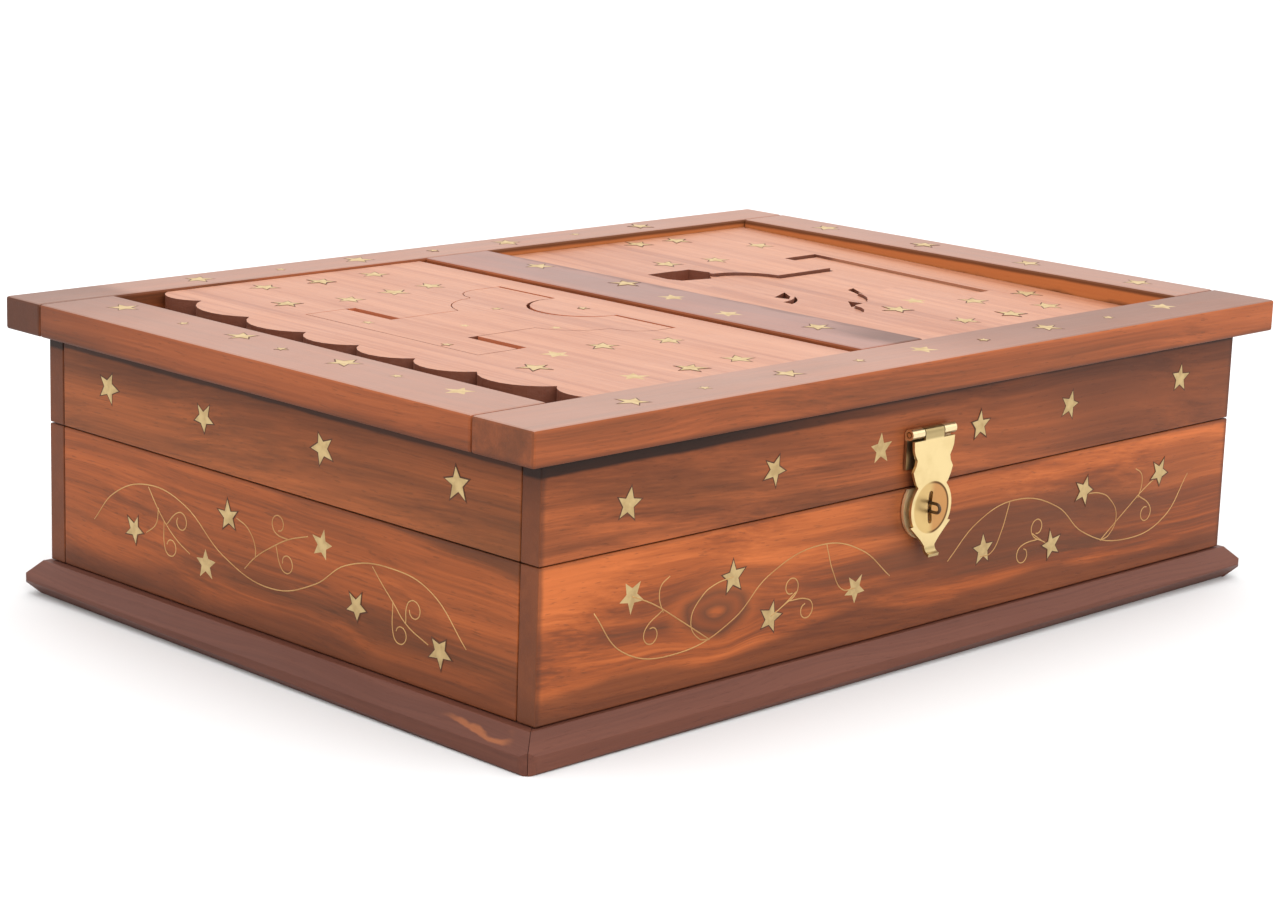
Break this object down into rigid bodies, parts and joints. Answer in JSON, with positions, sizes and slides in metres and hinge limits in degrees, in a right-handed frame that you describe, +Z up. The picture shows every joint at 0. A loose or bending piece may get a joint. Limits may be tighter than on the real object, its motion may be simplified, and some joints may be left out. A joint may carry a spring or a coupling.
{
  "type": "wooden puzzle box",
  "caption": "Rectangular wooden box with a hinged lid, a framed top holding jigsaw panels over hidden trays, and a brass hasp at the front.",
  "frame": {"origin": "middle of the underside of the plinth, on the surface that the box stands on", "axes": "+X along the long side to the right as seen from the hasp, -Y towards the hasp side, +Z up"},
  "size_m": [0.3, 0.214, 0.085],
  "materials": {
    "frame_wood": "rosewood, red-brown with dark streaks, satin lacquer on sawn and sanded faces",
    "wall_wood": "rosewood, orange-brown with dark grain and stained edges, satin lacquer",
    "plinth_wood": "dark red-brown stained hardwood, dull lacquer",
    "panel_wood": "rosewood with fine straight saw marks, satin lacquer",
    "inner_board": "plain thin board, bare wood",
    "brass": "bright stamped sheet brass"
  },
  "bodies": {
    "base": {"plinth_front": "plinth_wood", "plinth_back": "plinth_wood", "plinth_left": "plinth_wood", "plinth_right": "plinth_wood", "bottom_board": "inner_board", "base_wall_front": "wall_wood", "base_wall_back": "wall_wood", "base_wall_left": "wall_wood", "base_wall_right": "wall_wood", "left_hinge_base_leaf": "brass", "left_hinge_pin": "brass", "left_hinge_base_screw_1": "brass", "left_hinge_base_screw_2": "brass", "right_hinge_base_leaf": "brass", "right_hinge_pin": "brass", "right_hinge_base_screw_1": "brass", "right_hinge_base_screw_2": "brass", "staple_plate": "brass", "staple_plate_nail_1": "brass", "staple_plate_nail_2": "brass", "staple": "brass"},
    "lid": {"lid_wall_front": "wall_wood", "lid_wall_back": "wall_wood", "lid_wall_left": "wall_wood", "lid_wall_right": "wall_wood", "frame_rail_front": "frame_wood", "frame_rail_back": "frame_wood", "frame_rail_left": "frame_wood", "frame_rail_right": "frame_wood", "frame_divider": "frame_wood", "tray_floor": "inner_board", "tray_partition": "inner_board", "left_batten_front": "inner_board", "left_batten_back": "inner_board", "right_batten_front": "inner_board", "right_batten_back": "inner_board", "left_hinge_lid_leaf": "brass", "left_hinge_lid_screw_1": "brass", "left_hinge_lid_screw_2": "brass", "right_hinge_lid_leaf": "brass", "right_hinge_lid_screw_1": "brass", "right_hinge_lid_screw_2": "brass", "hasp_fixed_leaf": "brass", "hasp_pin": "brass", "hasp_leaf_nail_1": "brass", "hasp_leaf_nail_2": "brass"},
    "hasp": {"hasp_leaf": "brass"},
    "left_panel": {"left_sliding_panel": "panel_wood"},
    "left_piece": {"left_jigsaw_piece": "panel_wood"},
    "right_panel": {"right_lift_out_panel": "panel_wood"},
    "right_piece": {"right_jigsaw_piece": "panel_wood"}
  },
  "joints": [
    {"name": "lid_hinge", "type": "hinge", "parent": "base", "child": "lid", "pos_m": [0, 0.1019, 0.0493], "axis": [-1, 0, 0], "range_deg": [0, 95]},
    {"name": "hasp_hinge", "type": "hinge", "parent": "lid", "child": "hasp", "pos_m": [0, -0.10165, 0.0642], "axis": [-1, 0, 0], "range_deg": [0, 140]},
    {"name": "left_panel_slide", "type": "slide", "parent": "lid", "child": "left_panel", "axis": [-1, 0, 0], "range_m": [0, 0.0052]},
    {"name": "left_piece_lift", "type": "slide", "parent": "left_panel", "child": "left_piece", "axis": [0, 0, 1], "range_m": [0, 0.012]},
    {"name": "right_panel_lift", "type": "slide", "parent": "lid", "child": "right_panel", "axis": [0, 0, 1], "range_m": [0, 0.02]},
    {"name": "right_piece_lift", "type": "slide", "parent": "right_panel", "child": "right_piece", "axis": [0, 0, 1], "range_m": [0, 0.012]}
  ]
}
